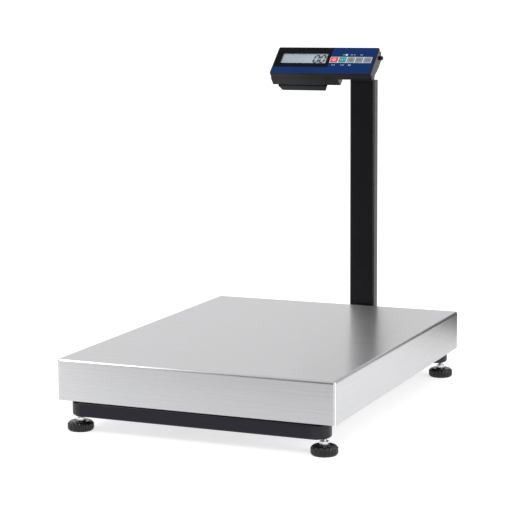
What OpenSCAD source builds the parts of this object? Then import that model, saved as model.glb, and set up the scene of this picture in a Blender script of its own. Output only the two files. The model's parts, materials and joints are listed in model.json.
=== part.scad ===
// Floor-standing platform scale: a lift-off pan on a single-point load cell, a tube base on four
// levelling feet, and a tilting indicator head on a mast behind the pan.
// Millimetres, +Z up, +X right, -Y towards the user. The origin is on the floor, below the middle
// of the whole scale's outline.

/* [Platform] */
// Width of the pan, left to right
pan_w = 600; // [560:10:700]
// Length of the pan, front to back
pan_l = 800; // [760:10:900]
// Height of the pan's skirt
pan_h = 85; // [80:1:90]
// Height of the weighing surface above the floor
deck_z = 151; // [149:1:155]
// Thickness of the pan's stainless sheet
pan_sheet = 1.5; // [1:0.25:2]
// Outer bend radius of the pan's edges and corners
pan_r = 6; // [4:1:8]

/* [Base] */
// Width of the flat-laid base tube, also the mast's width
tube_w = 60; // [50:5:70]
// Thickness of the base tube, also the mast's depth
tube_t = 30; // [25:1:32]
// Wall of the steel tubes
tube_wall = 2.5; // [2:0.5:3]
// Outer corner radius of the steel tubes
tube_r = 4.5; // [3:0.5:6]
// Half the length of the steel cross tubes; a half-round end cap comes after each end
cross_half = 249; // [247:1:252]

/* [Feet] */
// Distance of each foot's axis from the middle, left or right
foot_x = 265; // [262:1:268]
// Radius of the foot's knob
knob_r = 27; // [22:1:30]
// Height of the foot's knob
knob_h = 20; // [14:1:20]
// Radius of the foot's threaded stud
stud_r = 5; // [4:0.5:6]

/* [Mast and head] */
// Distance of the mast's centre line from the middle, to the right
mast_x = 59; // [40:1:80]
// Height of the mast's top above the floor
mast_top = 676; // [640:1:700]
// Slope of the head's face above level, in degrees
face_slope = 42.5; // [40:0.5:44]
// Width of the head's case
case_w = 252; // [250:1:260]
// Length of the head's case, up the face
case_l = 88; // [86:1:90]
// Number of keys in the row
key_count = 5; // [3:1:5]

/* [Hidden] */
$fn = 48;

loose = 0.1;    // gap round a fastener in its hole
run = 0.05;     // radial clearance of a turning or sliding fit
eps = 0.01;     // extra length of a cutting tool
key_gap = 0.3;  // gap round each key

// Fasteners
m8_r = 4;                                // load cell and mast bolts
m8_head_r = 6.5;
m8_head_h = 8;
m8_hex_r = 7.5;                          // hexagon of the mast bolts, across its corners
m8_hex_h = 5.3;
m8_nut_h = 6.5;
washer_t = 1.6;
m5_r = 2.5;                              // bracket screws
m3_r = 1.5;                              // case screws
foot_nut_r = 9.8;                        // lock nuts, across their corners
foot_nut_h = 7;
foot_bush_r = 7.5;
foot_bush_h = 16;
stud_z = 6;                              // lower end of the studs
stud_h = 48;

// Heights of the base and of what stands on it
tube_z = 34;                             // underside of the base tubes
rail_z = tube_z + tube_t;                // top of the base tubes
plate_t = 8;                             // base plate
plate_l = 110;                           // length of the base plate and the top plate
plate_lap = 10;                          // how far each plate reaches past the load cell's middle
base_plate_w = 180;
shim_t = 3;                              // spacer under or over the load cell
shim_l = 40;
cell_z = rail_z + plate_t + shim_t;      // underside of the load cell
cell_h = 38;
cell_w = 40;
cell_l = 150;
top_plate_t = 6;
top_plate_z = cell_z + cell_h + shim_t;
frame_z = top_plate_z + top_plate_t;     // underside of the top frame
frame_h = 20;
frame_w = 40;
buffer_z = frame_z + frame_h;
buffer_h = deck_z - pan_sheet - buffer_z;

// Places along Y are measured from the pan's centre
front_y = -pan_l / 2 + 1 + tube_w / 2;   // front cross tube and front feet
rear_y = pan_l / 2 + 12 - tube_w / 2;    // rear cross tube and rear feet
base_rail_x = 50;
base_rail_w = 40;
top_rail_x = 140;
top_cross_y = pan_l / 2 - 35;
top_cross_l = pan_w - 50;
buffer_x = pan_w / 2 - 45;
stop_x = 200;
stop_gap = 1.2;                          // room left under the top frame
cable_x = 78;                            // where the cable crosses into the mast
cable_z = tube_z + tube_t / 2;
cable_r = 2.5;
bracket_t = 4;
bracket_w = 90;
bracket_h = 96;
mast_y = pan_l / 2 + 12 + bracket_t;     // front face of the mast
mast_mid_y = mast_y + tube_t / 2;
bolt_zs = [84, 114];                     // heights of the two mast bolts
cable_hole_r = 6;
cap_roof = 2;                            // what an end cap leaves above its foot's hole
cap_depth = 12;                          // how far an end cap reaches into its tube
cap_wall = 2.2;

// Head: its frame has its origin on the tilt axis, y up the face and z out of the face
pivot_y = pan_l / 2 + 60;
pivot_z = 725;
ear_r = 9;
ear_t = 3;
ear_left_x = 6;
ear_right_x = 76;
plug_h = 12;
left_pivot_r = 4.5;
right_pivot_r = 3;
thumb_r = 5;                             // head of the tilt screw
thumb_t = 5.5;
bush_flange_t = 0.6;
bracket_plate_t = 3;
case_x = -163;                           // left end of the case
case_y = -75;                            // lower edge of the case
face_z = 22;
seam_z = 7;                              // where the front and rear cases meet
case_wall = 2.5;
case_r = 4;
tray_x = 5;                              // right end of the deep part of the rear case
tray_z = -19;
cover_z = -38;
rim = 3;                                 // bezel round the overlay
overlay_t = 0.5;
board_z = 10;
board_t = 1.6;
window_at = [-145, -40];                 // lower left corner of the display opening
window_size = [113, 32];
key_size = [18, 16.5];
key_pitch = 20.5;
key_x0 = -12.5;                          // centre of the first key
key_y = -28.5;
key_proud = 0.4;
case_screw_at = [[-155, -64], [-155, -36], [22, -66], [66, -66]];
boss_r = 3.5;                            // screw posts in the front case
cheek_x = 80;                            // left side of the case's right cheek
jack_at = [-14, -50];
jack_r = 4.5;
board_at = [-150, -70];
board_size = [232, 57];
pack_at = [-138, -69];                   // battery pack
pack_size = [96, 40, 22];
window_t = 2.3;                          // from the face to the back of the window
lcd_gap = 0.4;

// The whole scale's outline runs from the pan's front edge to the bracket's rearmost point
pan_y = -(pivot_y + ear_r - pan_l / 2) / 2;

// ---- helpers ----

// Everything but the head is drawn from the pan's centre
module from_pan() translate([0, pan_y, 0]) children();

// The head's own frame, at its resting slope
module head_frame() from_pan() translate([0, pivot_y, pivot_z]) rotate([face_slope, 0, 0]) children();

// Extrude an outline drawn in (Y, Z) along +X
module along_x(x, length) translate([x, 0, 0]) rotate([90, 0, 90]) linear_extrude(length) children();

// Extrude an outline drawn in (X, Z) along +Y
module along_y(y, length) translate([0, y + length, 0]) rotate([90, 0, 0]) linear_extrude(length) children();

// Rectangle with round corners, centred
module round_rect(w, h, r) {
    square([w - 2 * r, h], center = true);
    square([w, h - 2 * r], center = true);
    for (sx = [-1, 1], sy = [-1, 1]) translate([sx * (w / 2 - r), sy * (h / 2 - r)]) circle(r);
}

// Section of a steel tube
module tube_section(w, h, wall = tube_wall, r = tube_r) {
    difference() {
        round_rect(w, h, r);
        round_rect(w - 2 * wall, h - 2 * wall, r - wall);
    }
}

// Box with its vertical and top edges rounded, standing on z = 0
module soft_box(w, l, h, r) {
    x = w / 2 - r;
    y = l / 2 - r;
    translate([-x, -l / 2, 0]) cube([2 * x, l, h - r]);
    translate([-w / 2, -y, 0]) cube([w, 2 * y, h - r]);
    translate([-x, -y, 0]) cube([2 * x, 2 * y, h]);
    for (sx = [-1, 1], sy = [-1, 1]) translate([sx * x, sy * y, 0]) {
        cylinder(r = r, h = h - r);
        translate([0, 0, h - r]) sphere(r);
    }
    for (sy = [-1, 1]) translate([-x, sy * y, h - r]) rotate([0, 90, 0]) cylinder(r = r, h = 2 * x);
    for (sx = [-1, 1]) translate([sx * x, y, h - r]) rotate([90, 0, 0]) cylinder(r = r, h = 2 * y);
}

// Cylinder along +X or +Y
module rod_x(x, length, r) translate([x, 0, 0]) rotate([0, 90, 0]) cylinder(r = r, h = length);
module rod_y(y, length, r) translate([0, y, 0]) rotate([-90, 0, 0]) cylinder(r = r, h = length);

// Hexagonal prism, r across its corners
module hex(r, h) cylinder(r = r, h = h, $fn = 6);

// ---- base frame ----

module cross_tube(y) from_pan() translate([0, y, tube_z + tube_t / 2])
    along_x(-cross_half, 2 * cross_half) tube_section(tube_w, tube_t);

module front_cross_tube() color("#1d1d24") cross_tube(front_y);

module rear_cross_tube() color("#1d1d24") difference() {
    cross_tube(rear_y);
    from_pan() translate([cable_x, 0, cable_z]) rod_y(rear_y - tube_w / 2 - 1, tube_w + 2, cable_hole_r);
}

module base_rail(side) color("#1d1d24") from_pan()
    translate([side * base_rail_x, 0, tube_z + tube_t / 2])
        along_y(front_y + tube_w / 2, rear_y - front_y - tube_w) tube_section(base_rail_w, tube_t);

// Half-round nose in each end of the cross tubes, with a sleeve inside the tube; it holds the foot's bush
module tube_end_caps() color("#18181c") from_pan()
    for (side = [-1, 1], y = [front_y, rear_y]) translate([side * cross_half, y, tube_z])
        mirror([side < 0 ? 1 : 0, 0, 0]) {
            difference() {
                cylinder(r = tube_w / 2, h = tube_t);
                translate([-tube_w, -tube_w, -1]) cube([tube_w, 2 * tube_w, tube_t + 2]);
                translate([foot_x - cross_half, 0, -eps])
                    cylinder(r = foot_bush_r + loose, h = tube_t - cap_roof);
            }
            translate([0, 0, tube_t / 2]) along_x(-cap_depth, cap_depth)
                tube_section(tube_w - 2 * tube_wall, tube_t - 2 * tube_wall, 2, cap_wall);
        }

// Threaded bush moulded into the end cap over each foot
module foot_bushes() color("#8a8d92") from_pan()
    for (side = [-1, 1], y = [front_y, rear_y]) translate([side * foot_x, y, tube_z]) difference() {
        cylinder(r = foot_bush_r, h = foot_bush_h);
        translate([0, 0, -eps]) cylinder(r = stud_r + run, h = foot_bush_h + 2 * eps);
    }

// ---- weighing mechanism ----

cell_bolt_x = 10;
cell_bolt_ys = [45, 65];
cell_thread = 16;    // depth of the load cell's bolt holes
cell_bore_y = 15;
cell_bore_r = 15;
cell_slot_h = 18;

// Bolt places: end = 1 is the fixed end at the back, end = -1 the loaded end at the front
module at_cell_bolts(end) for (sx = [-1, 1], y = cell_bolt_ys) translate([sx * cell_bolt_x, end * y, 0])
    children();

module base_plate() color("#34353a") from_pan() difference() {
    translate([-base_plate_w / 2, -plate_lap, rail_z]) cube([base_plate_w, plate_l, plate_t]);
    at_cell_bolts(1) translate([0, 0, rail_z - eps]) cylinder(r = m8_r + loose, h = plate_t + 2 * eps);
}

module spacer(end, z) from_pan() difference() {
    translate([-cell_w / 2, end > 0 ? cell_l / 2 - shim_l : -cell_l / 2, z]) cube([cell_w, shim_l, shim_t]);
    at_cell_bolts(end) translate([0, 0, z - eps]) cylinder(r = m8_r + loose, h = shim_t + 2 * eps);
}

// One below the load cell's fixed end and one on its loaded end
module cell_spacers() color("#9a9da1") {
    spacer(1, rail_z + plate_t);
    spacer(-1, cell_z + cell_h);
}

// Aluminium single-point cell: the two round bores thin the beam into its four bending flanks
module load_cell() color("#c5c8cc") from_pan() difference() {
    translate([-cell_w / 2, -cell_l / 2, cell_z]) cube([cell_w, cell_l, cell_h]);
    translate([0, 0, cell_z + cell_h / 2]) {
        for (y = [-cell_bore_y, cell_bore_y]) translate([0, y, 0])
            rod_x(-cell_w / 2 - 1, cell_w + 2, cell_bore_r);
        translate([-cell_w / 2 - 1, -cell_bore_y, -cell_slot_h / 2])
            cube([cell_w + 2, 2 * cell_bore_y, cell_slot_h]);
    }
    at_cell_bolts(1) translate([0, 0, cell_z - eps]) cylinder(r = m8_r + loose, h = cell_thread);
    at_cell_bolts(-1) translate([0, 0, cell_z + cell_h - cell_thread])
        cylinder(r = m8_r + loose, h = cell_thread + eps);
    translate([14, 0, cell_z + cell_h / 2]) rod_y(cell_l / 2 - 6, 6 + eps, cable_r + loose);
}

module top_plate() color("#34353a") from_pan() difference() {
    translate([-top_rail_x - frame_w / 2, plate_lap - plate_l, top_plate_z])
        cube([2 * top_rail_x + frame_w, plate_l, top_plate_t]);
    at_cell_bolts(-1) translate([0, 0, top_plate_z - eps])
        cylinder(r = m8_r + loose, h = top_plate_t + 2 * eps);
}

// Socket-head bolts: four from below into the fixed end, four from above into the loaded end
module load_cell_bolts() color("#2c2d30") from_pan() {
    grip = cell_thread - 2;
    at_cell_bolts(1) {
        translate([0, 0, rail_z - m8_head_h]) cylinder(r = m8_head_r, h = m8_head_h);
        translate([0, 0, rail_z]) cylinder(r = m8_r, h = plate_t + shim_t + grip);
    }
    at_cell_bolts(-1) {
        translate([0, 0, frame_z]) cylinder(r = m8_head_r, h = m8_head_h);
        translate([0, 0, cell_z + cell_h - grip]) cylinder(r = m8_r, h = grip + shim_t + top_plate_t);
    }
}

module top_rail(side) color("#2a2b30") from_pan()
    translate([side * top_rail_x, 0, frame_z + frame_h / 2])
        along_y(-top_cross_y + frame_w / 2, 2 * top_cross_y - frame_w)
            tube_section(frame_w, frame_h, 2, 3);

module top_cross(side) color("#2a2b30") from_pan()
    translate([0, side * top_cross_y, frame_z + frame_h / 2])
        along_x(-top_cross_l / 2, top_cross_l) tube_section(frame_w, frame_h, 2, 3);

module rubber_buffers() color("#111214") from_pan()
    for (sx = [-1, 1], sy = [-1, 1]) translate([sx * buffer_x, sy * top_cross_y, buffer_z])
        cylinder(r = 15, h = buffer_h);

// Posts that catch the top frame when the pan is overloaded
module overload_stops() color("#b9bcc1") from_pan()
    for (sx = [-1, 1], y = [-top_cross_y, top_cross_y + 5]) translate([sx * stop_x, y, rail_z]) {
        hex(foot_nut_r, frame_z - rail_z - 8);
        cylinder(r = 5, h = frame_z - rail_z - stop_gap);
    }

level_r = 14;
level_h = 10;
vial_r = 11;
level_floor = 2;

module at_level() from_pan() translate([-65, 70, rail_z + plate_t]) children();

module bubble_level_body() color("#c5c8cc") at_level() difference() {
    cylinder(r = level_r, h = level_h);
    translate([0, 0, level_floor]) cylinder(r = vial_r, h = level_h);
}

module bubble_level_vial() color("#a8d060", 0.6) at_level() translate([0, 0, level_floor])
    cylinder(r = vial_r - loose, h = level_h - level_floor - 1);

// ---- cable from the load cell to the head ----

// Corners of the route, chosen by hand; each corner is rounded over corner_k on both sides
cable_route = [
    [14, 70, 94], [14, 104, 94], [18, 124, 67], [50, 160, 67], [50, 296, 67], [78, 318, 66],
    [78, 336, 49], [78, 431, 49], [78, 431, 596], [40, 431, 634], [40, 432, 688], [36, 461, 700],
    [20, 460, 725], [-12, 460, 725]];
corner_k = 11;
corner_steps = 4;
cable_sides = 10;

function unit(v) = v / norm(v);
function bend(a, c, b, t) = (1 - t) * (1 - t) * a + 2 * t * (1 - t) * c + t * t * b;
function corner(a, c, b) = let (
        start = c + unit(a - c) * min(corner_k, norm(a - c) / 2.2),
        end = c + unit(b - c) * min(corner_k, norm(b - c) / 2.2))
    [for (i = [0:corner_steps]) bend(start, c, end, i / corner_steps)];
function rounded(p) = concat(
    [p[0]],
    [for (i = [1:len(p) - 2]) each corner(p[i - 1], p[i], p[i + 1])],
    [p[len(p) - 1]]);
function tangent(p, i) = unit(p[min(i + 1, len(p) - 1)] - p[max(i - 1, 0)]);
// Normals carried along the path with the least turning
function normals(p, i, n) = let (t = tangent(p, i), m = unit(n - (n * t) * t))
    i == len(p) - 1 ? [m] : concat([m], normals(p, i + 1, m));

module sweep(p, r, sides) {
    n = normals(p, 0, [0.3, 0.2, 1]);
    points = [for (i = [0:len(p) - 1], k = [0:sides - 1])
        let (t = tangent(p, i), a = 360 * k / sides)
            p[i] + r * (cos(a) * n[i] + sin(a) * cross(t, n[i]))];
    walls = [for (i = [0:len(p) - 2], k = [0:sides - 1])
        let (a = i * sides + k, b = i * sides + (k + 1) % sides) [a, a + sides, b + sides, b]];
    ends = [[for (k = [0:sides - 1]) k], [for (k = [sides - 1:-1:0]) (len(p) - 1) * sides + k]];
    polyhedron(points, concat(walls, ends), convexity = 6);
}

module signal_cable() color("#3c3d42") from_pan() sweep(rounded(cable_route), cable_r, cable_sides);

// Rubber grommet in the front wall of the rear cross tube
module cable_grommet() color("#111214") from_pan()
    translate([cable_x, rear_y - tube_w / 2, cable_z]) difference() {
        union() {
            rod_y(-2, 2, cable_hole_r + 1.5);
            rod_y(-eps, tube_wall, cable_hole_r - loose);
        }
        rod_y(-3, 8, 3.2);
    }

// ---- mast ----

// Plate welded to the back of the rear cross tube; the mast is bolted to it
module mast_bracket() color("#1d1d24") from_pan() difference() {
    along_y(mast_y - bracket_t, bracket_t) translate([mast_x, tube_z + bracket_h / 2])
        round_rect(bracket_w, bracket_h, 5);
    for (z = bolt_zs) translate([mast_x, 0, z]) rod_y(mast_y - bracket_t - 1, bracket_t + 2, m8_r + loose);
    translate([cable_x, 0, cable_z]) rod_y(mast_y - bracket_t - 1, bracket_t + 2, cable_hole_r);
}

module mast() color("#26262a") from_pan() difference() {
    translate([mast_x, mast_mid_y, tube_z]) linear_extrude(mast_top - 2 - tube_z)
        tube_section(tube_w, tube_t, 2, tube_r + 0.5);
    for (z = bolt_zs) translate([mast_x, 0, z]) rod_y(mast_y - 1, tube_t + 2, m8_r + loose);
    translate([cable_x, 0, cable_z]) rod_y(mast_y - 1, 4, cable_hole_r);
}

module mast_bottom_cap() color("#18181c") from_pan() translate([mast_x, mast_mid_y, 0]) {
    translate([0, 0, tube_z - 2]) linear_extrude(2) round_rect(tube_w, tube_t, 5);
    translate([0, 0, tube_z]) linear_extrude(8)
        tube_section(tube_w - 4 - 2 * loose, tube_t - 4 - 2 * loose, 2, 2.8);
}

// Solid plug that takes the bracket's screws and lets the cable out
module mast_top_cap() color("#18181c") from_pan() difference() {
    translate([mast_x, mast_mid_y, 0]) {
        translate([0, 0, mast_top - 2]) linear_extrude(2) round_rect(tube_w, tube_t, 5);
        translate([0, 0, mast_top - 2 - plug_h]) linear_extrude(plug_h)
            round_rect(tube_w - 4 - 2 * loose, tube_t - 4 - 2 * loose, 2.8);
    }
    cable_exit_hole();
    at_bracket_screws() cylinder(r = m5_r + loose, h = 60, center = true);
}

module cable_exit_hole() translate([40, mast_mid_y, mast_top - 20]) cylinder(r = 4, h = 40);
module at_bracket_screws() for (x = [55, 71]) translate([x, mast_mid_y, mast_top]) children();

// Each mast bolt goes in from behind, through a sleeve that keeps the tube from crushing, to its nut
module mast_fasteners() color("#c9ccd0") from_pan() for (z = bolt_zs) translate([mast_x, 0, z]) {
    nut_y = mast_y - bracket_t - m8_nut_h;
    rod_y(nut_y - 1.5, mast_y + tube_t - nut_y + 1.5, m8_r);
    rod_y(mast_y + tube_t, washer_t, 8.5);
    translate([0, mast_y + tube_t + washer_t, 0]) rotate([-90, 30, 0]) hex(m8_hex_r, m8_hex_h);
    difference() {
        translate([0, nut_y, 0]) rotate([-90, 30, 0]) hex(m8_hex_r, m8_nut_h);
        rod_y(nut_y - 1, m8_nut_h + 2, m8_r + run);
    }
}

module mast_sleeves() color("#9a9da1") from_pan() for (z = bolt_zs) translate([mast_x, 0, z])
    difference() {
        rod_y(mast_y + 2, tube_t - 4, 7);
        rod_y(mast_y + 1, tube_t, m8_r + loose);
    }

// ---- tilt bracket and pivots ----

// One ear, drawn in (Y, Z): a slanted strap that ends in a round eye on the tilt axis
module ear_outline() {
    foot_front = mast_y + 14;
    foot_rear = mast_y + tube_t;
    rise = [pivot_y - (foot_front + foot_rear) / 2, pivot_z - mast_top];
    side = ear_r * [rise[1], -rise[0]] / norm(rise);
    eye = [pivot_y, pivot_z];
    translate(eye) circle(ear_r);
    polygon([[foot_front, mast_top], [foot_rear, mast_top], eye + side, eye - side]);
}

module tilt_bracket() color("#26262a") from_pan() difference() {
    union() {
        for (x = [ear_left_x, ear_right_x]) along_x(x, ear_t) ear_outline();
        translate([ear_left_x, mast_y + 6, mast_top])
            cube([ear_right_x + ear_t - ear_left_x, tube_t - 6, bracket_plate_t]);
    }
    translate([0, pivot_y, pivot_z]) {
        rod_x(ear_left_x - 1, ear_t + 2, left_pivot_r);
        rod_x(ear_right_x - 1, ear_t + 2, right_pivot_r);
    }
    cable_exit_hole();
    at_bracket_screws() cylinder(r = m5_r + loose, h = 20, center = true);
}

module bracket_screws() color("#2c2d30") from_pan() at_bracket_screws() {
    translate([0, 0, bracket_plate_t]) cylinder(r = 4.75, h = 2.8);
    translate([0, 0, -10]) cylinder(r = m5_r, h = 10 + bracket_plate_t);
}

// Hollow left pivot, fixed in its ear; the cable passes through it into the case
module cable_bush() color("#111214") from_pan() translate([0, pivot_y, pivot_z]) difference() {
    union() {
        rod_x(tray_x - case_wall - 1, ear_left_x + ear_t - tray_x + case_wall + 1, left_pivot_r);
        rod_x(ear_left_x + ear_t, bush_flange_t, left_pivot_r + 2);
    }
    rod_x(0, 12, cable_r + 0.25);
}

// Right pivot: a thumb screw through the case's cheek into its ear
module tilt_screw() color("#18181c") from_pan() translate([0, pivot_y, pivot_z]) {
    rod_x(ear_right_x, case_x + case_w - ear_right_x + key_gap, right_pivot_r);
    rod_x(case_x + case_w + key_gap, thumb_t, thumb_r);
}

// ---- pan ----

module platform_pan() color("#c9cbce") from_pan() translate([0, 0, deck_z - pan_h]) difference() {
    soft_box(pan_w, pan_l, pan_h, pan_r);
    translate([0, 0, -eps])
        soft_box(pan_w - 2 * pan_sheet, pan_l - 2 * pan_sheet, pan_h - pan_sheet + eps, pan_r - pan_sheet);
}

// ---- feet ----

lobes = 20;

// Ribbed knob with softened edges, moulded round the stud's lower end
module knob(side, y) color("#121215") from_pan() translate([side * foot_x, y, 0]) difference() {
    rotate_extrude() polygon([
        [0, 0], [knob_r - 3, 0], [knob_r, 4], [knob_r, knob_h - 6], [knob_r - 4, knob_h - 1.5],
        [knob_r - 9, knob_h], [0, knob_h]]);
    for (i = [0:lobes - 1]) rotate(i * 360 / lobes) translate([knob_r + 1.6, 0, -1])
        cylinder(r = 2.8, h = knob_h + 2);
    translate([0, 0, stud_z]) cylinder(r = stud_r, h = knob_h);
}

module stud(side, y) color("#b9bcc1") from_pan() translate([side * foot_x, y, stud_z])
    cylinder(r = stud_r, h = stud_h);

// Lock nut, run down onto the knob
module lock_nut(side, y) color("#c9ccd0") from_pan() translate([side * foot_x, y, knob_h]) difference() {
    hex(foot_nut_r, foot_nut_h);
    translate([0, 0, -eps]) cylinder(r = stud_r + run, h = foot_nut_h + 2 * eps);
}

// ---- head ----

module case_outline(inset = 0) translate([case_x + case_w / 2, case_y + case_l / 2])
    round_rect(case_w - 2 * inset, case_l - 2 * inset, case_r - inset);

module window_opening(extra = 0) translate([window_at[0] - extra, window_at[1] - extra])
    square([window_size[0] + 2 * extra, window_size[1] + 2 * extra]);

module key_openings() for (i = [0:key_count - 1]) translate([key_x0 + i * key_pitch, key_y])
    square([key_size[0] + 2 * key_gap, key_size[1] + 2 * key_gap], center = true);

module front_case() color("#1b1b1f") head_frame() difference() {
    union() {
        difference() {
            translate([0, 0, seam_z]) linear_extrude(face_z - seam_z) case_outline();
            translate([0, 0, seam_z - eps]) linear_extrude(face_z - seam_z - 2.5 + eps)
                case_outline(case_wall);
        }
        for (p = case_screw_at) translate([p[0], p[1], seam_z]) cylinder(r = boss_r, h = 12.5);
    }
    translate([0, 0, face_z - overlay_t]) linear_extrude(1) case_outline(rim);
    translate([0, 0, face_z - 4]) linear_extrude(4) window_opening(1 + loose);
    translate([0, 0, face_z - 4]) linear_extrude(4) key_openings();
    for (p = case_screw_at) translate([p[0], p[1], seam_z - eps]) cylinder(r = m3_r, h = 8);
}

// Deep left part of the rear case, drawn in (y, z), and the room inside it
case_top_y = case_y + case_l;
module tray_outline() polygon([
    [case_y, seam_z], [case_y, -15], [case_y + 4, tray_z], [-30, tray_z], [-2, -11],
    [case_top_y, 2], [case_top_y, seam_z]]);
module tray_hollow() polygon([
    [case_y + case_wall, seam_z + 1], [case_y + case_wall, -14], [case_y + 5, tray_z + case_wall],
    [-30.4, tray_z + case_wall], [-3.1, -8.7], [case_top_y - case_wall, 3.1],
    [case_top_y - case_wall, seam_z + 1]]);

// Cheek at the right end, drawn in (y, z), round the right pivot
module cheek_outline() {
    polygon([
        [case_y, seam_z], [case_y, seam_z - case_wall], [-45, -4], [-20, -8], [0, -8], [8, 0],
        [case_top_y, seam_z]]);
    circle(seam_z);
}

module rear_case() color("#232327") head_frame() difference() {
    union() {
        difference() {
            along_x(case_x, tray_x - case_x) tray_outline();
            along_x(case_x + case_wall, tray_x - case_x - 2 * case_wall) tray_hollow();
        }
        translate([tray_x, case_y, seam_z - case_wall])
            cube([case_x + case_w - tray_x, case_l, case_wall]);
        along_x(cheek_x, case_x + case_w - cheek_x) cheek_outline();
        for (p = [case_screw_at[0], case_screw_at[1]]) translate([p[0], p[1], tray_z])
            cylinder(r = boss_r + 0.5, h = seam_z - tray_z);
    }
    // pivot holes
    rod_x(tray_x - case_wall - 1, case_wall + 2, left_pivot_r + run);
    rod_x(cheek_x - 1, 12, right_pivot_r + run);
    // slots that the bracket's ears reach into
    for (x = [ear_left_x, ear_right_x]) translate([x - 1, -24, 0]) cube([ear_t + 2, 34.5, seam_z + 1]);
    // battery opening and jack hole
    translate([-146, -71, tray_z - 1]) cube([112, 45, 4]);
    translate([jack_at[0], jack_at[1], tray_z - 1]) cylinder(r = jack_r + loose, h = 4);
    for (p = case_screw_at) translate([p[0], p[1], tray_z - 1]) cylinder(r = m3_r + loose, h = 30);
}

module face_overlay() color("#0b3d8c") head_frame() difference() {
    translate([0, 0, face_z - overlay_t]) linear_extrude(overlay_t) case_outline(rim + loose);
    translate([0, 0, face_z - 2]) linear_extrude(4) window_opening();
    translate([0, 0, face_z - 2]) linear_extrude(4) key_openings();
}

module display_window() color("#b8ccd2", 0.6) head_frame() translate([0, 0, face_z - window_t])
    linear_extrude(window_t - overlay_t) window_opening(1);

module lcd_module() color("#9fb3b8") head_frame() translate([0, 0, board_z + board_t + lcd_gap])
    linear_extrude(face_z - window_t - board_z - board_t - 2 * lcd_gap) window_opening(4);

module main_board() color("#1f5a34") head_frame() difference() {
    translate([board_at[0], board_at[1], board_z]) cube([board_size[0], board_size[1], board_t]);
    for (p = [case_screw_at[2], case_screw_at[3]]) translate([p[0], p[1], board_z - 1])
        cylinder(r = boss_r + loose, h = 4);
}

module key_switches() color("#2c2d30") head_frame() for (i = [0:key_count - 1])
    translate([key_x0 + i * key_pitch - 3, key_y - 3, board_z + board_t]) cube([6, 6, 2]);

module battery_pack() color("#2f6f9f") head_frame() translate([pack_at[0], pack_at[1], cover_z + 2.5])
    cube(pack_size);

// Battery cover: a tapered box, so its outline is the meeting of a side view and a front view
module cover_solid(x, y, z) intersection() {
    along_x(-160, 140) polygon([
        [-75 + y, tray_z + 1], [-75 + y, cover_z + 4 + z * 0.6], [-71 + y * 0.6, cover_z + z],
        [-24 - y * 1.3, cover_z + z], [-10 - y * 1.3, tray_z], [-10 - y * 1.3, tray_z + 1]]);
    along_y(-80, 90) polygon([
        [-152 + x, tray_z + 1], [-28 - x, tray_z + 1], [-28 - x, tray_z], [-37 - x, cover_z + z],
        [-143 + x, cover_z + z], [-152 + x, tray_z]]);
}

module battery_cover() color("#232327") head_frame() difference() {
    cover_solid(0, 0, 0);
    cover_solid(2, 2, 2);
    translate([-200, -100, tray_z]) cube([240, 140, 10]);
}

module case_screws() color("#2c2d30") head_frame() for (i = [0:3]) {
    p = case_screw_at[i];
    head_z = i < 2 ? tray_z : seam_z - case_wall;
    translate([p[0], p[1], head_z - 1.8]) cylinder(r = 2.9, h = 1.8);
    translate([p[0], p[1], head_z]) cylinder(r = m3_r, h = 14.5 - head_z);
}

module power_jack() color("#18181c") head_frame() translate([jack_at[0], jack_at[1], 0]) difference() {
    union() {
        translate([0, 0, tray_z - 1.5]) cylinder(r = jack_r + 1.5, h = 1.5);
        translate([0, 0, tray_z]) cylinder(r = jack_r, h = 11);
    }
    translate([0, 0, tray_z - 2]) cylinder(r = 2.75, h = 10);
}

// A key pad with a stem over its switch
module key(i, tint) color(tint) head_frame() translate([key_x0 + i * key_pitch, key_y, 0]) {
    translate([0, 0, face_z - 2]) linear_extrude(2 + key_proud) square(key_size, center = true);
    translate([-4, -4, board_z + board_t + 2.6]) cube([8, 8, face_z - 2 - board_z - board_t - 2.6]);
}

front_cross_tube();
rear_cross_tube();
base_rail(-1);  // base_rail_left
base_rail(1);  // base_rail_right
tube_end_caps();
foot_bushes();
base_plate();
cell_spacers();
load_cell();
top_plate();
load_cell_bolts();
top_rail(-1);  // top_rail_left
top_rail(1);  // top_rail_right
top_cross(-1);  // top_cross_front
top_cross(1);  // top_cross_rear
rubber_buffers();
overload_stops();
bubble_level_body();
bubble_level_vial();
signal_cable();
cable_grommet();
mast_bracket();
mast();
mast_bottom_cap();
mast_top_cap();
mast_fasteners();
mast_sleeves();
tilt_bracket();
bracket_screws();
cable_bush();
tilt_screw();
platform_pan();
knob(-1, front_y);  // knob_front_left
knob(1, front_y);  // knob_front_right
knob(-1, rear_y);  // knob_rear_left
knob(1, rear_y);  // knob_rear_right
stud(-1, front_y);  // stud_front_left
stud(1, front_y);  // stud_front_right
stud(-1, rear_y);  // stud_rear_left
stud(1, rear_y);  // stud_rear_right
lock_nut(-1, front_y);  // lock_nut_front_left
lock_nut(1, front_y);  // lock_nut_front_right
lock_nut(-1, rear_y);  // lock_nut_rear_left
lock_nut(1, rear_y);  // lock_nut_rear_right
front_case();
rear_case();
face_overlay();
display_window();
lcd_module();
main_board();
key_switches();
battery_pack();
battery_cover();
case_screws();
power_jack();
key(0, "#d8433c");  // key_power
key(1, "#2a8f8a");  // key_zero
key(2, "#9a9da1");  // key_tare
key(3, "#9a9da1");  // key_mode
key(4, "#9a9da1");  // key_enter
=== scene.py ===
"""Looks of the platform scale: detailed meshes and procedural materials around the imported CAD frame."""
import json
import math

import bmesh
import bpy
from mathutils import Matrix, Vector


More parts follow.
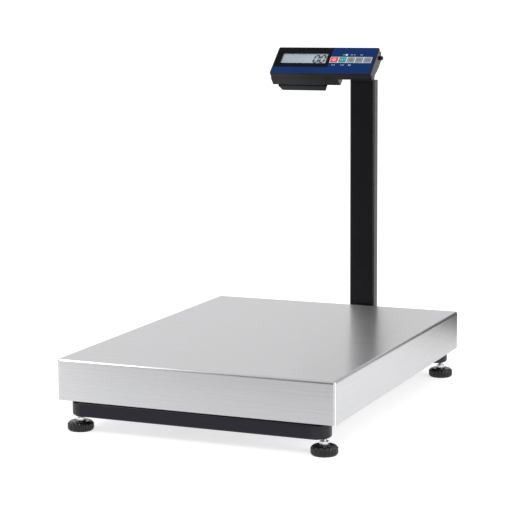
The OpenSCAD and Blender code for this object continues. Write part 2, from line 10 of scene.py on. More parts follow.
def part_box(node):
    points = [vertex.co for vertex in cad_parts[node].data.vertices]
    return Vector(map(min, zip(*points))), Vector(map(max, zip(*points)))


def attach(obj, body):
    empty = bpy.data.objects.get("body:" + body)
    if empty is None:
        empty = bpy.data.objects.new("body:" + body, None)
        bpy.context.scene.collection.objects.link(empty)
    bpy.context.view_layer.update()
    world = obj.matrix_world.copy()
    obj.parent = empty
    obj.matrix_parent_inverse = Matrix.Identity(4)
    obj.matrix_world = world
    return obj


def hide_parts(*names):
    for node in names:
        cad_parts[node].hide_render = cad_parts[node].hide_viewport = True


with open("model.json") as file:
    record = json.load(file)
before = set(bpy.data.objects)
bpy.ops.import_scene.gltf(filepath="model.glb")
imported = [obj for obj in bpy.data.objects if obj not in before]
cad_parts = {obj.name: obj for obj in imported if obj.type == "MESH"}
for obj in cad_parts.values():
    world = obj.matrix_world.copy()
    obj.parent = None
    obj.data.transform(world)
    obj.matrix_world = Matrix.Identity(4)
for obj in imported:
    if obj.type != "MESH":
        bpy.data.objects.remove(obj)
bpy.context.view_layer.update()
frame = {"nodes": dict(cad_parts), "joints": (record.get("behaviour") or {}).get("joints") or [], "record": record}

MM = 0.001
FACE_SLOPE = math.radians(42.5)
PIVOT = Vector(next(j for j in frame["joints"] if j["name"] == "head_tilt")["pos_m"])
HEAD = Matrix.Translation((0, PIVOT.y, PIVOT.z)) @ Matrix.Rotation(FACE_SLOPE, 4, "X")
WORLD = Matrix.Identity(4)
SQUARE = ((1, 1), (-1, 1), (-1, -1), (1, -1))
BODY_OF = {n: b for b, nodes in frame["record"]["behaviour"]["bodies"].items() for n in nodes}
SLOT_OF = {s["node"]: s["material_slot"] for s in frame["record"]["subparts"]}


# ---- mesh helpers ----

def new_object(name, bm, place=WORLD):
    """Closes a bmesh into an object; place carries it from its own frame to the world's."""
    bmesh.ops.remove_doubles(bm, verts=bm.verts, dist=1e-7)
    bmesh.ops.recalc_face_normals(bm, faces=bm.faces)
    bm.transform(place)
    mesh = bpy.data.meshes.new(name)
    bm.to_mesh(mesh)
    bm.free()
    obj = bpy.data.objects.new(name, mesh)
    bpy.context.scene.collection.objects.link(obj)
    return obj


def apply_modifiers(obj):
    depsgraph = bpy.context.evaluated_depsgraph_get()
    mesh = bpy.data.meshes.new_from_object(obj.evaluated_get(depsgraph))
    obj.modifiers.clear()
    obj.data = mesh
    return obj


def shade(obj, degrees=35):
    """Smooth shading with crisp edges, and flat faces that stay flat beside their round edges."""
    mesh = obj.data
    mesh.polygons.foreach_set("use_smooth", [True] * len(mesh.polygons))
    mesh.set_sharp_from_angle(angle=math.radians(degrees))
    mod = obj.modifiers.new("weighted", "WEIGHTED_NORMAL")
    mod.mode = "FACE_AREA"
    mod.keep_sharp = True
    return apply_modifiers(obj)


def bevel(obj, width, segments=2, degrees=30):
    mod = obj.modifiers.new("bevel", "BEVEL")
    mod.width = width
    mod.segments = segments
    mod.limit_method = "ANGLE"
    mod.angle_limit = math.radians(degrees)
    mod.use_clamp_overlap = True
    return apply_modifiers(obj)


def cut(obj, *cutters):
    """Takes each cutter's volume out of obj."""
    for cutter in cutters:
        mod = obj.modifiers.new("cut", "BOOLEAN")
        mod.operation = "DIFFERENCE"
        mod.solver = "EXACT"
        mod.object = cutter
        apply_modifiers(obj)
        bpy.data.objects.remove(cutter)
    return obj


def loft(bm, rings, caps=True):
    """Skins a list of closed rings, each a list of points of one length."""
    rows = [[bm.verts.new(p) for p in ring] for ring in rings]
    count = len(rows[0])
    for low, high in zip(rows, rows[1:]):
        for i in range(count):
            j = (i + 1) % count
            bm.faces.new((low[i], low[j], high[j], high[i]))
    if caps:
        bm.faces.new(list(reversed(rows[0])))
        bm.faces.new(rows[-1])
    return rows


def rounded_rectangle(low, high, r, steps=6):
    """Outline points from one corner (x, y) to the other, anticlockwise."""
    points = []
    corners = [(high[0] - r, high[1] - r), (low[0] + r, high[1] - r),
               (low[0] + r, low[1] + r), (high[0] - r, low[1] + r)]
    for k, (cx, cy) in enumerate(corners):
        for i in range(steps + 1):
            a = math.radians(90 * k + 90 * i / steps)
            points.append((cx + r * math.cos(a), cy + r * math.sin(a)))
    return points


def add_prism(bm, outline, z0, z1):
    loft(bm, [[(x, y, z) for x, y in outline] for z in (z0, z1)])


def prism(name, outline, z0, z1, place):
    bm = bmesh.new()
    add_prism(bm, outline, z0, z1)
    return new_object(name, bm, place)


def turned(bm, profile, count, place, radius=None, caps=True):
    """Turns a profile of (r, z) about Z; radius can reshape each point by its angle."""
    shape = radius or (lambda r, z, a: r)
    rings = []
    for r, z in profile:
        ring = []
        for i in range(count):
            a = 2 * math.pi * i / count
            rr = shape(r, z, a)
            ring.append(place @ Vector((rr * math.cos(a), rr * math.sin(a), z)))
        rings.append(ring)
    return loft(bm, rings, caps)


def hexagonal(corner_r):
    """Radius of a hexagon, held inside a chamfer that the profile gives."""
    flat_r = corner_r * math.cos(math.pi / 6)

    def radius(r, z, a):
        from_flat = (a + math.pi / 6) % (math.pi / 3) - math.pi / 6
        return min(r, flat_r / math.cos(from_flat))
    return radius


def add_hexagon(bm, corner_r, z0, z1, place, bore=0.0):
    """Nut or bolt head with its corners chamfered at both ends, open in the middle if it has a bore."""
    sides = 72
    face_r = corner_r * 0.87
    drop = corner_r * 0.09
    profile = [(face_r, z0), (corner_r, z0 + drop), (corner_r, z1 - drop), (face_r, z1)]
    if bore:
        inner = [(bore, z1), (bore, z0), (face_r, z0)]
        turned(bm, profile + inner, sides, place, hexagonal(corner_r), caps=False)
    else:
        turned(bm, profile, sides, place, hexagonal(corner_r))


def threaded(r, pitch, start, stop):
    """Radius of a screw thread between two heights, plain outside them."""
    depth = 0.6 * pitch

    def radius(base, z, a):
        if not start <= z <= stop or base < r * 0.99:
            return base
        turn = (z / pitch - a / (2 * math.pi)) % 1.0
        return base - depth * (1 - abs(2 * turn - 1))
    return radius


def add_shaft(bm, r, z0, z1, pitch, place):
    """Threaded bar with chamfered ends."""
    sides = 24
    rows_per_turn = 6
    chamfer = min(0.8 * MM, 0.3 * r)
    count = int((z1 - z0 - 2 * chamfer) / (pitch / rows_per_turn)) + 1
    zs = [z0 + chamfer + (z1 - z0 - 2 * chamfer) * i / count for i in range(count + 1)]
    profile = [(r - chamfer, z0)] + [(r, z) for z in zs] + [(r - chamfer, z1)]
    turned(bm, profile, sides, place, threaded(r, pitch, z0 + chamfer, z1 - chamfer))


def settle(piece, material, body, slot, *nodes):
    """Gives a finished piece its material and its body, and hides the nodes it stands for; its slot is not used.
    """
    piece.data.materials.clear()
    piece.data.materials.append(material)
    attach(piece, body)
    if nodes:
        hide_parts(*nodes)
    return piece


def stand_for(piece, node, material):
    """A piece that takes its body from the node it replaces; the node's slot is looked up but not used."""
    return settle(piece, material, BODY_OF[node], SLOT_OF[node], node)


def copied(node):
    """A clean copy of a CAD node: joined vertices, and flat faces without their triangles."""
    bm = bmesh.new()
    bm.from_mesh(frame["nodes"][node].data)
    bmesh.ops.remove_doubles(bm, verts=bm.verts, dist=2e-6)
    bmesh.ops.dissolve_limit(bm, angle_limit=math.radians(0.4), verts=bm.verts, edges=bm.edges)
    return new_object(f"{node}_fine", bm)


def refined(node, material, width, segments=2):
    """A copy of a CAD node with rounded edges."""
    piece = copied(node)
    if width:
        bevel(piece, width, segments)
    return stand_for(shade(piece), node, material)


def local_box(node, place):
    """A node's box in another frame, such as the head's."""
    back = place.inverted()
    points = [back @ v.co for v in frame["nodes"][node].data.vertices]
    low = Vector([min(p[i] for p in points) for i in range(3)])
    high = Vector([max(p[i] for p in points) for i in range(3)])
    return low, high


# ---- material helpers ----

PATTERN_LOW = 0.3
PATTERN_HIGH = 0.7


class Shader:
    """A Principled material whose plain numbers are set on the shader's own sockets."""

    def __init__(self, name, color, roughness, metallic=0.0, **sockets):
        self.material = bpy.data.materials.new(name)
        self.material.use_nodes = True
        self.tree = self.material.node_tree
        self.bsdf = self.tree.nodes["Principled BSDF"]
        self.bsdf.inputs["Base Color"].default_value = (*color, 1.0)
        self.bsdf.inputs["Roughness"].default_value = roughness
        self.bsdf.inputs["Metallic"].default_value = metallic
        for key, value in sockets.items():
            self.bsdf.inputs[key.replace("_", " ")].default_value = value

    def link(self, a, b):
        self.tree.links.new(a, b)

    def noise(self, scale, detail=3.0, stretch=(1, 1, 1), source="Object", rough=0.5):
        """A noise pattern over the object's own metres, or over its UVs."""
        place = self.tree.nodes.new("ShaderNodeTexCoord")
        mapping = self.tree.nodes.new("ShaderNodeMapping")
        mapping.inputs["Scale"].default_value = stretch
        n = self.tree.nodes.new("ShaderNodeTexNoise")
        n.inputs["Scale"].default_value = scale
        n.inputs["Detail"].default_value = detail
        n.inputs["Roughness"].default_value = rough
        self.link(place.outputs[source], mapping.inputs["Vector"])
        self.link(mapping.outputs["Vector"], n.inputs["Vector"])
        return n.outputs["Fac"]

    def tint(self, value, low, high):
        """Blends the base colour between two by a pattern."""
        ramp = self.tree.nodes.new("ShaderNodeValToRGB")
        ramp.color_ramp.elements[0].position = PATTERN_LOW
        ramp.color_ramp.elements[0].color = (*low, 1.0)
        ramp.color_ramp.elements[1].position = PATTERN_HIGH
        ramp.color_ramp.elements[1].color = (*high, 1.0)
        self.link(value, ramp.inputs["Fac"])
        self.link(ramp.outputs["Color"], self.bsdf.inputs["Base Color"])
        return self

    def roughness(self, value, low, high):
        """Spreads the roughness between two numbers by a pattern."""
        spread = self.tree.nodes.new("ShaderNodeMapRange")
        spread.inputs["From Min"].default_value = PATTERN_LOW
        spread.inputs["From Max"].default_value = PATTERN_HIGH
        spread.inputs["To Min"].default_value = low
        spread.inputs["To Max"].default_value = high
        self.link(value, spread.inputs["Value"])
        self.link(spread.outputs["Result"], self.bsdf.inputs["Roughness"])
        return self

    def bump(self, value, strength, distance):
        """Raises the surface by a pattern, on top of any bump it has already."""
        b = self.tree.nodes.new("ShaderNodeBump")
        b.inputs["Strength"].default_value = strength
        b.inputs["Distance"].default_value = distance
        self.link(value, b.inputs["Height"])
        before = self.bsdf.inputs["Normal"].links
        if before:
            self.link(before[0].from_socket, b.inputs["Normal"])
        self.link(b.outputs["Normal"], self.bsdf.inputs["Normal"])
        return self


def scaled(color, factor):
    return tuple(min(1.0, c * factor) for c in color)


def brushed_stainless():
    """Fine straight grain along U, broader bands along it, and a slow waviness of the sheet."""
    steel = (0.555, 0.556, 0.566)
    s = Shader("brushed_stainless", steel, 0.3, 1.0, Anisotropic=0.85, Anisotropic_Rotation=0.25)
    fine = s.noise(1.0, 4.0, (6, 2400, 1), "UV", 0.6)
    broad = s.noise(1.0, 3.0, (1.2, 420, 1), "UV")
    s.tint(broad, scaled(steel, 0.95), scaled(steel, 1.04))
    s.roughness(fine, 0.25, 0.35)
    s.bump(fine, 0.08, 0.00004)
    s.bump(s.noise(2.6, 2.0), 0.05, 0.004)
    tangent = s.tree.nodes.new("ShaderNodeTangent")
    tangent.direction_type = "UV_MAP"
    s.link(tangent.outputs["Tangent"], s.bsdf.inputs["Tangent"])
    return s.material


def powder_coat(name, color, roughness, grain, depth):
    """Sprayed and baked paint with an orange-peel skin."""
    s = Shader(name, color, roughness, Specular_IOR_Level=0.2)
    skin = s.noise(grain, 3.0)
    s.tint(s.noise(7.0, 2.0), scaled(color, 0.88), scaled(color, 1.12))
    s.roughness(skin, roughness - 0.06, roughness + 0.08)
    return s.bump(skin, 0.35, depth).material


def moulded(name, color, roughness, grain=2200.0, depth=0.00003, gloss=0.2):
    """Moulded plastic with a fine grain and a faint drift in its colour and shine."""
    s = Shader(name, color, roughness, Specular_IOR_Level=gloss)
    flow = s.noise(24.0, 2.0)
    s.tint(flow, scaled(color, 0.85), scaled(color, 1.15))
    s.roughness(flow, roughness - 0.04, roughness + 0.05)
    return s.bump(s.noise(grain, 2.0), 0.3, depth).material


def machined(name, color, roughness, metallic=1.0):
    """Plated or machined metal with fine tool marks and a faint stain."""
    s = Shader(name, color, roughness, metallic)
    marks = s.noise(900.0, 3.0, (1, 1, 4))
    s.tint(s.noise(60.0, 2.0), scaled(color, 0.82), scaled(color, 1.08))
    s.roughness(marks, roughness - 0.07, roughness + 0.1)
    return s.bump(marks, 0.15, 0.00003).material


def film(name, color, roughness=0.24):
    """Printed polyester film: satin, with a faint drift in the ink."""
    s = Shader(name, color, roughness, Specular_IOR_Level=0.06)
    s.tint(s.noise(12.0, 2.0), scaled(color, 0.9), scaled(color, 1.1))
    s.roughness(s.noise(900.0, 2.0), roughness - 0.05, roughness + 0.07)
    return s.bump(s.noise(700.0, 2.0), 0.08, 0.00002).material


def clear(name, color, alpha):
    """Clear plastic or tinted fluid, with a sharp reflection."""
    s = Shader(name, color, 0.04, Alpha=alpha, Specular_IOR_Level=0.7)
    return s.roughness(s.noise(80.0, 2.0), 0.04, 0.07).material


def display_ground():
    """Pale blue-grey reflective display under a gloss coat, its ground painted darker in broad patches as painted
    shade.
    """
    s = Shader("display_ground", (0.36, 0.43, 0.46), 0.35, Coat_Weight=0.3, Coat_Roughness=0.08)
    # Broad darker patches over the display's ground: painted shade, not a tone the ground has.
    s.tint(s.noise(9.0, 1.0), (0.22, 0.28, 0.31), (0.36, 0.43, 0.47))
    return s.bump(s.noise(1500.0, 1.0), 0.05, 0.00002).material


STEEL_SHEET = brushed_stainless()
BASE_PAINT = powder_coat("base_paint", (0.007, 0.007, 0.0125), 0.38, 900.0, 0.00008)
FRAME_PAINT = powder_coat("frame_paint", (0.035, 0.036, 0.042), 0.5, 900.0, 0.00008)
MAST_PAINT = powder_coat("mast_paint", (0.0042, 0.0040, 0.0056), 0.26, 1500.0, 0.00012)
KNOB_PLASTIC = moulded("knob_plastic", (0.0045, 0.0045, 0.005), 0.28, gloss=0.4)
CAP_PLASTIC = moulded("cap_plastic", (0.0085, 0.0085, 0.0115), 0.34, gloss=0.25)
CASE_PLASTIC = moulded("case_plastic", (0.0036, 0.0036, 0.0052), 0.2, gloss=0.22)
RUBBER = moulded("buffer_rubber", (0.014, 0.014, 0.015), 0.75, 500.0, 0.0001)
JACKET = moulded("cable_jacket", (0.03, 0.03, 0.034), 0.5, 600.0, 0.00004)
ZINC = machined("zinc_plate", (0.74, 0.75, 0.77), 0.24)
ALLOY = machined("anodised_alloy", (0.76, 0.77, 0.79), 0.34)
BARE_STEEL = machined("bare_steel", (0.5, 0.5, 0.51), 0.36)
BLACK_STEEL = machined("black_oxide", (0.04, 0.04, 0.045), 0.42, 0.6)
BLUE_FILM = film("blue_film", (0.0003, 0.019, 0.10))
BLACK_FILM = film("black_film", (0.0012, 0.0012, 0.0015), 0.12)
PALE_INK = film("pale_ink", (0.62, 0.68, 0.72), 0.3)
RED_FILM = film("red_film", (0.60, 0.055, 0.045))
TEAL_FILM = film("teal_film", (0.012, 0.22, 0.215))
GREY_FILM = film("grey_film", (0.20, 0.205, 0.215))
DARK_INK = film("dark_ink", (0.018, 0.03, 0.045), 0.3)
DISPLAY = display_ground()
WINDOW = clear("clear_window", (0.25, 0.27, 0.28), 0.06)
VIAL = clear("vial_fluid", (0.45, 0.75, 0.12), 0.7)
BOARD = moulded("solder_mask", (0.015, 0.12, 0.045), 0.35, 400.0)
SWITCH = moulded("switch_plastic", (0.03, 0.03, 0.03), 0.5)
BATTERY = film("battery_wrap", (0.03, 0.11, 0.25))


# ---- pan ----

def grain_uv(obj):
    """UVs with U along the brushing: across the top, and level along each side."""
    mesh = obj.data
    layer = mesh.uv_layers.new(name="grain")
    for face in mesh.polygons:
        n = face.normal
        for index in face.loop_indices:
            co = mesh.vertices[mesh.loops[index].vertex_index].co
            if abs(n.z) >= max(abs(n.x), abs(n.y)):
                uv = (co.x, co.y)
            elif abs(n.y) >= abs(n.x):
                uv = (co.x, co.z)
            else:
                uv = (co.y, co.z)
            layer.data[index].uv = uv
    return obj


def make_pan():
    """One folded sheet: rounded bends, and a skirt whose lower edge shows the sheet's thickness."""
    low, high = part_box("platform_pan")
    bend_r = 6 * MM
    sheet = 1.5 * MM
    edge = 0.3 * MM
    least_r = 0.1 * MM
    steps = 8

    def ring(inset, z, r):
        outline = rounded_rectangle((low.x + inset, low.y + inset), (high.x - inset, high.y - inset), r)
        return [(x, y, z) for x, y in outline]

    rings = [ring(bend_r, high.z - sheet, least_r), ring(sheet, high.z - bend_r, bend_r - sheet)]
    rings += [ring(sheet, low.z + edge, bend_r - sheet), ring(sheet - edge, low.z, bend_r - sheet + edge)]
    rings += [ring(edge, low.z, bend_r - edge), ring(0, low.z + edge, bend_r)]
    for i in range(steps + 1):
        a = math.radians(90 * i / steps)
        inset = bend_r * (1 - math.cos(a))
        rings.append(ring(inset, high.z - bend_r * (1 - math.sin(a)), max(bend_r - inset, least_r)))
    bm = bmesh.new()
    loft(bm, rings)
    pan = shade(new_object("pan_sheet", bm), 60)
    return stand_for(grain_uv(pan), "platform_pan", STEEL_SHEET)


# ---- base ----

M10_PITCH = 1.5 * MM


def make_plain_parts():
    """Structural parts whose CAD shape is right: each gets rounded edges and its finish."""
    table = [
        (BASE_PAINT, 0.6, ("front_cross_tube", "rear_cross_tube", "base_rail_left", "base_rail_right",
                           "mast_bracket")),
        (FRAME_PAINT, 0.6, ("base_plate", "top_plate", "top_rail_left", "top_rail_right",
                            "top_cross_front", "top_cross_rear")),
        (MAST_PAINT, 0.3, ("mast", "tilt_bracket")),
        (ALLOY, 0.5, ("load_cell", "bubble_level_body")),
        (BARE_STEEL, 0.4, ("foot_bushes", "cell_spacers", "mast_sleeves")),
        (CAP_PLASTIC, 0.8, ("mast_bottom_cap", "mast_top_cap", "cable_bush")),
        (RUBBER, 1.2, ("rubber_buffers", "cable_grommet")),
        (VIAL, 0.5, ("bubble_level_vial",)),
        (SWITCH, 0.3, ("key_switches",)),
        (BATTERY, 2.0, ("battery_pack",)),
        (BOARD, 0.2, ("main_board",)),
        (JACKET, 0.0, ("signal_cable",))]
    for material, width, nodes in table:
        for node in nodes:
            refined(node, material, width * MM, 3)


def make_end_caps():
    """Half-round noses that continue the cross tubes' rounded section, each with a sleeve in its tube."""
    low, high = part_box("tube_end_caps")
    tube_low, tube_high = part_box("front_cross_tube")
    bush_low, bush_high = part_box("foot_bushes")
    nose_r = (tube_high.y - tube_low.y) / 2
    soft = 4.5 * MM
    steps = 6
    wall = 2.5 * MM
    corner = 2 * MM
    sleeve_l = 12 * MM
    bush_r = 7.5 * MM
    hole_r = bush_r + 0.1 * MM
    turns = [math.radians(-90 + 180 * i / 32) for i in range(33)]
    heights = []
    for i in range(steps + 1):
        a = math.radians(90 * i / steps)
        heights.append((low.z + soft * (1 - math.cos(a)), soft * (1 - math.sin(a))))
    heights += [(low.z + high.z - z, inset) for z, inset in reversed(heights)]
    caps = []
    for end, y in (("front", low.y + nose_r), ("rear", high.y - nose_r)):
        for side, x in ((-1, tube_low.x), (1, tube_high.x)):
            rings = []
            for z, inset in heights:
                r = nose_r - inset
                rings.append([(x + side * r * math.cos(a), y + r * math.sin(a), z) for a in turns])
            bm = bmesh.new()
            loft(bm, rings)
            outer, inner = (rounded_rectangle((y - nose_r + t, low.z + t), (y + nose_r - t, high.z - t),
                                              corner) for t in (wall + 0.05 * MM, 2 * wall))
            spans = [(outer, -sleeve_l), (outer, 0), (inner, 0), (inner, -sleeve_l), (outer, -sleeve_l)]
            loft(bm, [[(x + side * dx, py, pz) for py, pz in outline] for outline, dx in spans], caps=False)
            caps.append(new_object(f"end_cap_{end}_{'left' if side < 0 else 'right'}", bm))
            hole = bmesh.new()
            centre_x = bush_low.x + bush_r if side < 0 else bush_high.x - bush_r
            turned(hole, [(hole_r, low.z - MM), (hole_r, high.z - 2 * MM)], 32,
                   Matrix.Translation((centre_x, y, 0)))
            cut(caps[-1], new_object("hole", hole))
    for cap in caps:
        stand_for(shade(cap, 30), "tube_end_caps", CAP_PLASTIC)


def make_feet():
    """Ribbed knobs, threaded studs and chamfered lock nuts."""
    for end in ("front", "rear"):
        for side in ("left", "right"):
            make_knob(f"{end}_{side}")
            make_stud(f"{end}_{side}")
            make_lock_nut(f"{end}_{side}")


def make_lock_nut(corner):
    """Hexagon nut with a clear bore round its stud."""
    low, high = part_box(f"lock_nut_{corner}")
    centre = (low + high) / 2
    stud_low, stud_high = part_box(f"stud_{corner}")
    bore = (stud_high.x - stud_low.x) / 2 + 0.05 * MM
    bm = bmesh.new()
    place = Matrix.Translation((centre.x, centre.y, 0))
    add_hexagon(bm, (high.x - low.x) / 2, low.z, high.z, place, bore)
    return stand_for(shade(new_object(f"lock_nut_{corner}_fine", bm), 28), f"lock_nut_{corner}", ZINC)


def make_knob(corner):
    """Moulded knob: a drum with finger flutes, a domed shoulder and a raised hub round its stud."""
    low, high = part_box(f"knob_{corner}")
    centre = (low + high) / 2
    r = (high.x - low.x) / 2
    h = high.z - low.z
    lobes = 20
    flute_r = 3.0 * MM
    flute_out = 0.9 * MM
    hub_r = 11 * MM
    stud_r = 5 * MM

    def radius(base, z, a):
        from_flute = r * ((a + math.pi / lobes) % (2 * math.pi / lobes) - math.pi / lobes)
        if base < r * 0.72 or abs(from_flute) >= math.sqrt(flute_r ** 2 - flute_out ** 2):
            return base
        return min(base, r + flute_out - math.sqrt(flute_r ** 2 - from_flute ** 2))

    underside = [(0.7 * r, 0.8 * MM), (0.7 * r + 0.8 * MM, 0), (r - 3.4 * MM, 0), (r - 2.6 * MM, 0.5 * MM)]
    drum = [(r - 0.5 * MM, 3.3 * MM), (r, 4.3 * MM), (r, 0.45 * h), (r, h - 6.2 * MM)]
    shoulder = [(r - 0.6 * MM, h - 5.1 * MM), (r - 3.4 * MM, h - 2.2 * MM), (r - 4.6 * MM, h - 1.3 * MM),
                (r - 9 * MM, h - 0.2 * MM)]
    hub = [(r - 10 * MM, h - 0.6 * MM), (hub_r + 0.6 * MM, h - 0.8 * MM), (hub_r, h), (stud_r, h)]
    bm = bmesh.new()
    place = Matrix.Translation((centre.x, centre.y, low.z))
    turned(bm, underside + drum + shoulder + hub, lobes * 12, place, radius)
    knob = shade(new_object(f"knob_{corner}_fine", bm), 40)
    return stand_for(knob, f"knob_{corner}", KNOB_PLASTIC)


def make_stud(corner):
    """Threaded stud of one foot."""
    low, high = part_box(f"stud_{corner}")
    centre = (low + high) / 2
    bm = bmesh.new()
    place = Matrix.Translation((centre.x, centre.y, 0))
    add_shaft(bm, (high.x - low.x) / 2, low.z, high.z, M10_PITCH, place)
    return stand_for(shade(new_object(f"stud_{corner}_fine", bm), 50), f"stud_{corner}", ZINC)


def along(axis_from, axis_to):
    """Frame whose Z runs from one point towards another."""
    start = Vector(axis_from)
    turn = (Vector(axis_to) - start).to_track_quat("Z", "Y").to_matrix().to_4x4()
    return Matrix.Translation(start) @ turn


def make_overload_stops():
    """Threaded posts under the top cross members, each with a lock nut near its top."""
    low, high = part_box("overload_stops")
    front_low, front_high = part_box("top_cross_front")
    rear_low, rear_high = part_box("top_cross_rear")
    hex_r = 9.8 * MM
    foot_h = 10 * MM
    nut_h = 8 * MM
    nut_drop = 8 * MM
    post_r = 5 * MM
    rear_shift = 5 * MM
    bm = bmesh.new()
    for x in (low.x + hex_r, high.x - hex_r):
        for y in ((front_low.y + front_high.y) / 2, (rear_low.y + rear_high.y) / 2 + rear_shift):
            place = Matrix.Translation((x, y, 0))
            add_hexagon(bm, hex_r, low.z, low.z + foot_h, place)
            add_hexagon(bm, hex_r, high.z - nut_drop - nut_h, high.z - nut_drop, place)
            add_shaft(bm, post_r, low.z, high.z, M10_PITCH, place)
    stand_for(shade(new_object("overload_stops_fine", bm), 28), "overload_stops", ZINC)


def make_mast_bolts():
    """Two hexagon bolts from behind, with washers, and nuts on the bracket's front."""
    low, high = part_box("mast_fasteners")
    bracket_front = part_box("mast_bracket")[0].y
    x = (low.x + high.x) / 2
    washer_r = (high.x - low.x) / 2
    washer_t = 1.6 * MM
    head_r = 7.5 * MM
    head_t = 5.3 * MM
    shaft_r = 4 * MM
    pitch = 1.25 * MM
    nut_h = 6.5 * MM
    bolts = bmesh.new()
    nuts = bmesh.new()
    for z in (low.z + washer_r, high.z - washer_r):
        place = along((x, high.y, z), (x, low.y, z))
        washer = [(washer_r - 0.3 * MM, head_t), (washer_r, head_t + 0.3 * MM)]
        washer += [(washer_r, head_t + washer_t), (washer_r - 0.5 * MM, head_t + washer_t)]
        add_hexagon(bolts, head_r, 0, head_t, place)
        turned(bolts, washer, 48, place)
        add_shaft(bolts, shaft_r, head_t, high.y - low.y, pitch, place)
        nut_place = along((x, bracket_front, z), (x, low.y, z))
        add_hexagon(nuts, head_r, 0, nut_h, nut_place, shaft_r + 0.05 * MM)
    stand_for(shade(new_object("mast_bolts_fine", bolts), 28), "mast_fasteners", ZINC)
    stand_for(shade(new_object("mast_nuts_fine", nuts), 28), "mast_fasteners", ZINC)


def add_socket_screw(bm, head_r, head_h, shaft_r, length, place, socket_r):
    """Cap screw with its head at z = 0, a hexagon socket in its top and its shaft towards -Z."""
    sides = 36
    soft = 0.12 * head_r
    depth = 0.55 * head_h
    profile = [(shaft_r * 0.8, -length), (shaft_r, -length + 0.2 * shaft_r), (shaft_r, 0), (head_r, 0)]
    profile += [(head_r, head_h - soft), (head_r - soft, head_h)]
    turned(bm, profile, sides, place, caps=False)
    shape = hexagonal(socket_r)
    rim = [(head_r - soft, head_h), (socket_r, head_h), (socket_r, head_h - depth)]

    def socket(r, z, a):
        return r if r > socket_r * 1.001 else shape(r, z, a)
    rows = turned(bm, rim, sides, place, socket, caps=False)
    bm.faces.new(rows[-1])


def make_cell_bolts():
    """Cap screws of the load cell: heads up at its front end, heads down at its rear end."""
    low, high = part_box("load_cell_bolts")
    cell_low, cell_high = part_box("load_cell")
    head_r = 6.5 * MM
    head_h = 8 * MM
    shaft_r = 4 * MM
    socket_r = 3.6 * MM
    spacing = 20 * MM
    reach = 14 * MM
    bm = bmesh.new()
    for x in (low.x + head_r, high.x - head_r):
        for y in (low.y + head_r, low.y + head_r + spacing):
            place = Matrix.Translation((x, y, high.z - head_h))
            length = high.z - head_h - cell_high.z + reach
            add_socket_screw(bm, head_r, head_h, shaft_r, length, place, socket_r)
        for y in (high.y - head_r, high.y - head_r - spacing):
            place = Matrix.Translation((x, y, low.z + head_h)) @ Matrix.Rotation(math.pi, 4, "X")
            length = cell_low.z + reach - low.z - head_h
            add_socket_screw(bm, head_r, head_h, shaft_r, length, place, socket_r)
    stand_for(shade(new_object("load_cell_bolts_fine", bm), 30), "load_cell_bolts", BLACK_STEEL)


def make_bracket_screws():
    """Two low-headed socket screws that hold the tilt bracket on the mast's top cap."""
    low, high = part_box("bracket_screws")
    head_r = 4.75 * MM
    head_h = 2.8 * MM
    shaft_r = 2.5 * MM
    socket_r = 1.7 * MM
    bm = bmesh.new()
    for x in (low.x + head_r, high.x - head_r):
        place = Matrix.Translation((x, (low.y + high.y) / 2, high.z - head_h))
        add_socket_screw(bm, head_r, head_h, shaft_r, high.z - head_h - low.z, place, socket_r)
    stand_for(shade(new_object("bracket_screws_fine", bm), 30), "bracket_screws", BLACK_STEEL)


def make_tilt_screw():
    """Thumb screw: a plain shank and a small fluted knob outside the case."""
    low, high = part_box("tilt_screw")
    knob_r = (high.z - low.z) / 2
    centre = (low + high) / 2
    knob_t = 5.5 * MM
    start = high.x - low.x - knob_t
    stop = start + knob_t
    shank_r = 3 * MM
    flutes = 12
    flute_depth = 0.35 * MM

    def radius(r, z, a):
        return r - flute_depth * (1 - math.cos(flutes * a)) / 2 if r > 0.9 * knob_r else r
    profile = [(shank_r - 0.8 * MM, 0), (shank_r, 0.8 * MM), (shank_r, start), (0.8 * knob_r, start)]
    profile += [(0.94 * knob_r, start + 0.5 * MM), (knob_r, start + 1 * MM), (knob_r, stop - 1.2 * MM)]
    profile += [(0.93 * knob_r, stop - 0.4 * MM), (0.8 * knob_r, stop), (0.5 * knob_r, stop)]
    profile += [(0.42 * knob_r, stop - 0.5 * MM)]
    bm = bmesh.new()
    place = along((low.x, centre.y, centre.z), (high.x, centre.y, centre.z))
    turned(bm, profile, flutes * 8, place, radius)
    stand_for(shade(new_object("tilt_screw_fine", bm), 35), "tilt_screw", CAP_PLASTIC)


# ---- head ----

CASE_LOW, CASE_HIGH = local_box("front_case", HEAD)
FACE_LOW, FACE_HIGH = local_box("face_overlay", HEAD)
GLASS_LOW, GLASS_HIGH = local_box("display_window", HEAD)
LCD_LOW, LCD_HIGH = local_box("lcd_module", HEAD)
KEYS = ("power", "zero", "tare", "mode", "enter")
KEY_BOXES = [local_box(f"key_{k}", HEAD) for k in KEYS]
CASE_WALL = 2.5 * MM
WINDOW_EDGE = 1 * MM
KEY_GAP = 0.3 * MM
KEY_CORNER = 0.9 * MM


def rectangle(low, high, grow, r, steps=3):
    """A box's outline, grown all round, with its corners rounded."""
    return rounded_rectangle((low[0] - grow, low[1] - grow), (high[0] + grow, high[1] + grow), r, steps)


def add_key_holes(bm, z0, z1):
    """The openings that the keys stand in, each a little larger than its key."""
    for low, high in KEY_BOXES:
        add_prism(bm, rectangle(low, high, KEY_GAP, KEY_CORNER), z0, z1)


def window_outline(grow=0.0):
    """Outline of the opening that the display shows through."""
    return rectangle(GLASS_LOW, GLASS_HIGH, grow - WINDOW_EDGE, 0.8 * MM)


